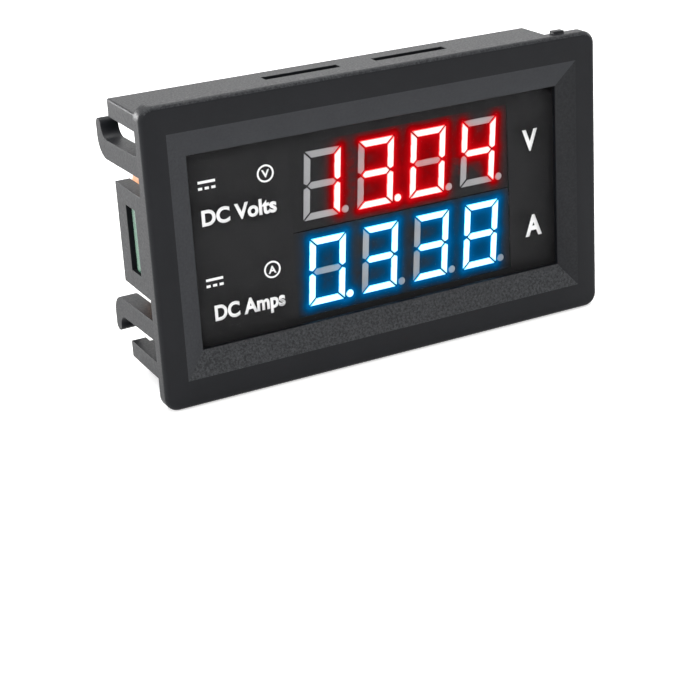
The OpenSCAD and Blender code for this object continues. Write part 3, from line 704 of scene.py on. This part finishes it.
SIGNAL = 0.26
TRIM_SIGNAL = 0.30
TRACK_ROUTES = [
    # Trimmers to the amplifier and the controller
    (TRIM_SIGNAL, [(1.0, 7.4), (-0.6, 6.0), (-8.8, 6.0), (-9.8, 5.0)]),
    (TRIM_SIGNAL, [(8.0, 7.4), (6.6, 6.2), (2.0, 6.2), (0.6, 3.6), (-0.4, 2.4)]),
    # Display pins to the controller, upper row
    (SIGNAL, [(-8.2, 5.8), (-8.2, 3.4), (-5.6, 2.2), (-5.6, 1.4)]),
    (SIGNAL, [(-6.6, 3.9), (-6.6, 3.2), (-4.9, 2.2), (-4.9, 1.4)]),
    (SIGNAL, [(-5.0, 3.9), (-5.0, 3.0), (-4.2, 2.2), (-4.2, 1.4)]),
    (SIGNAL, [(-3.4, 3.9), (-3.4, 1.4)]),
    (SIGNAL, [(-1.8, 3.9), (-1.8, 3.0), (-2.6, 2.2), (-2.6, 1.4)]),
    (SIGNAL, [(-0.2, 3.9), (-0.2, 3.2), (-1.4, 2.2), (-1.4, 1.4)]),
    # Controller to the resistors beside it and the lower row
    (SIGNAL, [(1.2, -4.5), (2.4, -3.0), (3.3, -3.0)]),
    (SIGNAL, [(0.6, -4.9), (2.0, -4.4), (3.3, -4.4)]),
    (SIGNAL, [(-0.8, -5.0), (0.8, -5.9), (3.3, -5.9)]),
    (SIGNAL, [(-5.4, -5.0), (-6.6, -6.4), (-8.6, -7.4)]),
    (SIGNAL, [(-4.7, -5.0), (-5.4, -6.6), (-6.6, -7.6)]),
    (SIGNAL, [(5.1, -3.0), (6.5, -3.0)]),
    (SIGNAL, [(5.1, -4.4), (6.5, -4.4)]),
    (SIGNAL, [(5.1, -5.8), (6.5, -5.8)]),
    # Supply to the diode and the regulator
    (0.90, [(17.2, -0.4), (17.2, 2.2), (17.0, 3.4)]),
    (0.90, [(13.4, 4.4), (9.4, 3.2)]),
    (0.60, [(12.3, -0.2), (9.6, 1.2), (7.4, 1.2)]),
    (0.40, [(6.2, 4.4), (6.2, 5.2), (4.6, 5.2)]),
]
# Bare copper flooded with solder, from the shunt's ends to the current header
CURRENT_POURS = [
    ((-19.4, -5.0), (-17.6, -6.8), 1.3, 0.12),
    ((-17.6, -7.4), (-17.6, -8.8), 1.1, 0.11),
    ((-17.4, -9.5), (-9.6, -9.9), 0.9, 0.10),
    ((-19.5, 5.4), (-18.7, 4.7), 1.2, 0.12),
]


def flat_strip(start, end, width, foot, thick):
    """A strip from point to point with square ends, standing on the board from its foot."""
    (x0, z0), (x1, z1) = start, end
    run = math.hypot(x1 - x0, z1 - z0)
    clear_selection()
    bpy.ops.mesh.primitive_cube_add(size=1)
    piece = bpy.context.object
    piece.scale = ((run + width) * MM, thick * MM, width * MM)
    piece.rotation_euler = (0, -math.atan2(z1 - z0, x1 - x0), 0)
    piece.location = ((x0 + x1) / 2 * MM, (foot + thick / 2) * MM, (z0 + z1) / 2 * MM)
    return settle(piece)


def make_board_tracks():
    """Copper tracks that stand up a little under the solder mask."""
    strips = []
    for width, route in TRACK_ROUTES:
        for turn, (start, end) in enumerate(zip(route, route[1:])):
            # Each stretch is a little thicker or thinner than the last, so no faces coincide at a turn
            thick = TRACK_T + TRACK_STEP * (turn % 2)
            strips.append(flat_strip(start, end, width, COPPER_FOOT, thick))
    tracks = joined("board_tracks", strips)
    with_material(tracks, MASK_TRACK)
    ridden(tracks)


def make_current_path():
    pours = []
    for start, end, width, thick in CURRENT_POURS:
        pours.append(bevelled(flat_strip(start, end, width, COPPER_FOOT, thick), POUR_EDGE))
    flood = joined("current_path", pours)
    with_material(flood, SOLDER)
    ridden(flood)


def legend_line(start, end, width=LEGEND_LINE):
    return flat_strip(start, end, width, LEGEND_FOOT, LEGEND_T)


def part_outline(node):
    """Four lines round a part, kept on the board."""
    low, high = (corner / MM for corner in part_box(node))
    board_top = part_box("board")[1].z / MM - BOARD_EDGE_MARGIN
    left, right = low.x - LEGEND_MARGIN, high.x + LEGEND_MARGIN
    foot, top = low.z - LEGEND_MARGIN, min(high.z + LEGEND_MARGIN, board_top)
    corners = [(left, foot), (right, foot), (right, top), (left, top)]
    return [legend_line(a, b) for a, b in zip(corners, corners[1:] + corners[:1])]


def first_pin_spot(node, below):
    low, high = (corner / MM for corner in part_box(node))
    x, z, size = high.x + 0.5, low.z - below, 0.4
    return legend_line((x, z), (x + 0.05, z), size)


def supply_signs():
    """Plus over the supply header's first way and minus over its last."""
    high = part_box("supply_header")[1] / MM
    line, half, apart = 0.2, 0.45, 5.0
    x, z = high.x - 2.4, high.z + 1.1
    return [
        legend_line((x - half, z), (x + half, z), line),
        legend_line((x, z - half), (x, z + half), line),
        legend_line((x - apart - half, z), (x - apart + half, z), line),
    ]


def make_board_legend():
    """White outlines round the parts, a spot at each first pin, and plus and minus marks."""
    lines = []
    for node in ("supply_header", "current_header", "voltage_trimmer", "current_trimmer", "input_diode"):
        lines += part_outline(node)
    lines.append(first_pin_spot("controller", 0.5))
    lines.append(first_pin_spot("amplifier", 0.3))
    lines += supply_signs()
    legend = joined("board_legend", lines)
    with_material(legend, LEGEND)
    ridden(legend)


make_board_tracks()
make_current_path()
make_board_legend()


# ---- Light scattered over the displays ----

FILM_STEP = 0.1
FILM_GAP = 0.05
# How deep the coloured rim goes inside a lit segment, and how far its light spreads outside
RIM_DEPTH = 0.16
GLOW_REACH = 0.40
GLOW_FALL = 1.25
GLOW_SHARE = 0.85
CORE_LIGHT = 0.15
# A point is shut in where it meets a lit segment within this reach in most directions
SHUT_REACH = 2.9
SHUT_WAYS = 16
# No light crosses the walls between two lit segments
WALL_HALF = 0.10
WALL_BLUR = 0.12
WALL_LEAST = 0.12
UNLIT_SCATTER = 0.5
UNLIT_POOL = 0.12


def outlines_of(node):
    """The front of each solid in a node, as a list of triangles for each."""
    mesh = bmesh.new()
    mesh.from_mesh(NODES[node].data)
    bmesh.ops.remove_doubles(mesh, verts=mesh.verts, dist=0.001 * MM)
    front = min(v.co.y for v in mesh.verts)

    def in_front(face):
        return all(abs(v.co.y - front) < 0.001 * MM for v in face.verts)

    shapes, found = [], set()
    for first in filter(in_front, mesh.faces):
        if first in found:
            continue
        found.add(first)
        shape, waiting = [], [first]
        while waiting:
            face = waiting.pop()
            shape.append([(v.co.x / MM, v.co.z / MM) for v in face.verts])
            beside = [other for edge in face.edges for other in edge.link_faces]
            fresh = {other for other in beside if other not in found and in_front(other)}
            found |= fresh
            waiting += sorted(fresh, key=lambda other: other.index)
        shapes.append(np.array(shape))
    mesh.free()
    return shapes


def distance_to(shape, points):
    """Distance from points to the outline of a shape made of triangles, and whether each is inside it."""
    inside = np.zeros(len(points), bool)
    sides = {}
    for triangle in shape:
        turns = []
        for a, b in zip(triangle, np.roll(triangle, -1, axis=0)):
            key = tuple(sorted((tuple(np.round(a, 4)), tuple(np.round(b, 4)))))
            # A side that two triangles share is no part of the outline
            sides[key] = None if key in sides else (a, b)
            run, to = b - a, points - a
            turns.append(run[0] * to[:, 1] - run[1] * to[:, 0])
        turns = np.array(turns)
        inside |= (turns >= 0).all(0) | (turns <= 0).all(0)
    outline = [side for side in sides.values() if side is not None]
    nearest = np.full(len(points), np.inf)
    for a, b in outline:
        run = b - a
        along = np.clip(((points - a) @ run) / max((run ** 2).sum(), 1e-12), 0, 1)
        gap = points - (a + along[:, None] * run)
        nearest = np.minimum(nearest, np.hypot(gap[:, 0], gap[:, 1]))
    return nearest, inside, outline


def shut_in(outline, points):
    """Share of the directions round each point in which a lit segment is within reach."""
    starts = np.array([a for a, b in outline])
    runs = np.array([b - a for a, b in outline])
    seen = np.zeros(len(points))
    for way in range(SHUT_WAYS):
        turn = 2 * math.pi * (way + 0.5) / SHUT_WAYS
        ahead = (math.cos(turn), math.sin(turn))
        across = ahead[0] * runs[:, 1] - ahead[1] * runs[:, 0]
        across = np.where(abs(across) < 1e-9, 1e-9, across)
        to = starts[None] - points[:, None]
        far = (to[..., 0] * runs[:, 1] - to[..., 1] * runs[:, 0]) / across
        along = (to[..., 0] * ahead[1] - to[..., 1] * ahead[0]) / across
        seen += ((far > 0) & (far < SHUT_REACH) & (along >= 0) & (along <= 1)).any(1)
    return seen / SHUT_WAYS


def scattered_light(lit, unlit, points, fill, shut_from):
    """The film's amounts at its points: its own light, the rims of lit segments and the tint between them."""
    lit_shapes = [distance_to(shape, points) for shape in outlines_of(lit)]
    within = np.zeros(len(points), bool)
    rim = np.zeros(len(points))
    dark = np.ones(len(points))
    gaps, sides = [], []
    for distance, inside, outline in lit_shapes:
        sides += outline
        within |= inside
        rim = np.where(inside, np.clip(1 - distance / RIM_DEPTH, 0, 1), rim)
        gap = np.where(inside, 0, distance)
        gaps.append(gap)
        dark *= 1 - GLOW_SHARE * np.exp(-(gap / GLOW_REACH) ** GLOW_FALL)
    second_nearest = np.sort(np.array(gaps), axis=0)[1]
    on_unlit = np.any([distance_to(shape, points)[1] for shape in outlines_of(unlit)], axis=0)
    closed = np.clip((shut_in(sides, points) - shut_from) / (1 - shut_from), 0, 1)
    light = 1 - dark * (1 - fill * closed)
    light = light * np.clip((second_nearest - WALL_HALF) / WALL_BLUR, WALL_LEAST, 1)
    light = np.where(within, CORE_LIGHT, light)
    pool = np.where(within, 0, np.clip(light * 3, 0, 1) * np.where(on_unlit, UNLIT_POOL, 1))
    return {"scatter": light * np.where(on_unlit, UNLIT_SCATTER, 1), "rim": rim, "pool": pool}


def make_light_film(colour, material, fill, shut_from):
    """Diffusing film over a display, which shows the light that spreads from its lit segments."""
    low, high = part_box(colour + "_display_shell")
    columns = int((high.x - low.x) / (FILM_STEP * MM))
    rows = int((high.z - low.z) / (FILM_STEP * MM))
    clear_selection()
    bpy.ops.mesh.primitive_grid_add(
        x_subdivisions=columns, y_subdivisions=rows, size=1, rotation=(math.pi / 2, 0, 0))
    film = bpy.context.object
    film.name = colour + "_light_film"
    film.scale = (high.x - low.x, high.z - low.z, 1)
    film.location = ((low.x + high.x) / 2, low.y - FILM_GAP * MM, (low.z + high.z) / 2)
    settle(film)
    points = np.array([(v.co.x / MM, v.co.z / MM) for v in film.data.vertices])
    lit, unlit = colour + "_segments_lit", colour + "_segments_unlit"
    for name, amounts in scattered_light(lit, unlit, points, fill, shut_from).items():
        layer = film.data.attributes.new(name, "FLOAT", "POINT")
        layer.data.foreach_set("value", amounts.astype(np.float32))
    with_material(film, material)
    ridden(film)


make_light_film("red", RED_HALO, fill=0.42, shut_from=0.42)
make_light_film("blue", BLUE_HALO, fill=0.24, shut_from=0.55)


# ---- Floor, light and world ----

FLOOR_GAP = 0.05
FLOOR_GLOW = 0.45
WORLD_LIGHT = 0.5
WORLD_WHITE = 1.0


def make_floor():
    """Pale floor that keeps the shadow and is seen as nearly white."""
    clear_selection()
    bpy.ops.mesh.primitive_plane_add(size=3, location=(0, 0, CAD_BOX[0].z - FLOOR_GAP * MM))
    floor = bpy.context.object
    floor.name = "floor"
    material, nodes, links, shader = finish("pale floor")
    shader.inputs["Base Color"].default_value = (0.86, 0.86, 0.86, 1)
    shader.inputs["Roughness"].default_value = 0.9
    shader.inputs["Specular IOR Level"].default_value = 0.1
    shader.inputs["Emission Color"].default_value = (1, 1, 1, 1)
    glow = maths(nodes, links, "MULTIPLY", seen_directly(nodes, links), FLOOR_GLOW)
    links.new(glow, shader.inputs["Emission Strength"])
    with_material(floor, material)


def make_world():
    """White world that lights the object with half of what is seen of it."""
    world = bpy.data.worlds.new("studio")
    bpy.context.scene.world = world
    world.use_nodes = True
    nodes, links = world.node_tree.nodes, world.node_tree.links
    background = nodes["Background"]
    background.inputs["Color"].default_value = (1, 1, 1, 1)
    strength = nodes.new("ShaderNodeMapRange")
    strength.inputs["To Min"].default_value = WORLD_LIGHT
    strength.inputs["To Max"].default_value = WORLD_WHITE
    links.new(seen_directly(nodes, links), strength.inputs["Value"])
    links.new(strength.outputs["Result"], background.inputs["Strength"])


def area_light(name, place, size, power, aim=(0, 0, 0)):
    clear_selection()
    bpy.ops.object.light_add(type="AREA", location=[c * MM for c in place])
    light = bpy.context.object
    light.name = name
    light.data.shape = "RECTANGLE"
    light.data.size, light.data.size_y = (s * MM for s in size)
    light.data.energy = power
    light.visible_camera = False
    direction = Vector(aim) * MM - light.location
    light.rotation_euler = direction.to_track_quat("-Z", "Y").to_euler()


make_floor()
make_world()
area_light("left light", (-300, 20, 60), (220, 220), 0.42)
area_light("low back light", (-160, 290, 25), (160, 60), 0.6, aim=(-20, 5, 0))
area_light("back light", (150, 290, 140), (220, 120), 0.16)
area_light("top light", (0, 60, 320), (260, 200), 0.85)
area_light("front light", (-164, -235, 201), (120, 120), 0.45)
area_light("right light", (300, 40, 50), (160, 200), 0.55)

scene = bpy.context.scene
scene.view_settings.view_transform = "Standard"
